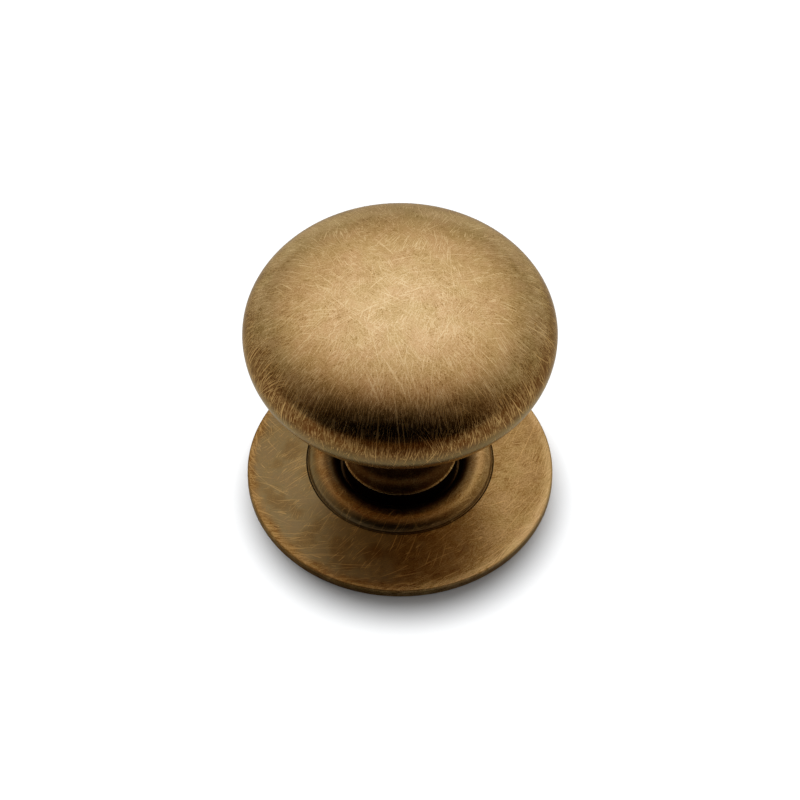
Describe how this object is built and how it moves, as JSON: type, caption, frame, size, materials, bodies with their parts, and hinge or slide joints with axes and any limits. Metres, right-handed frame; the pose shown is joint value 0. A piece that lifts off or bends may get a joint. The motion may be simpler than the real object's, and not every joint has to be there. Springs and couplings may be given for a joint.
{
  "type": "cabinet knob",
  "caption": "Round bun-shaped cabinet knob of solid brass on a waisted neck, standing in the socket of a separate round backplate with a raised bead; brushed antique finish.",
  "frame": {"origin": "centre of the backplate's flat back face, which meets the drawer front", "axes": "+Z runs out of the drawer front along the knob's axis, towards the crown of the head"},
  "size_m": [0.038, 0.038, 0.037],
  "materials": {
    "antique_brass": "dark patina on turned brass, brushed back by hand to fine random hairlines"
  },
  "bodies": {
    "root": {"knob": "antique_brass", "backplate": "antique_brass"}
  },
  "joints": []
}
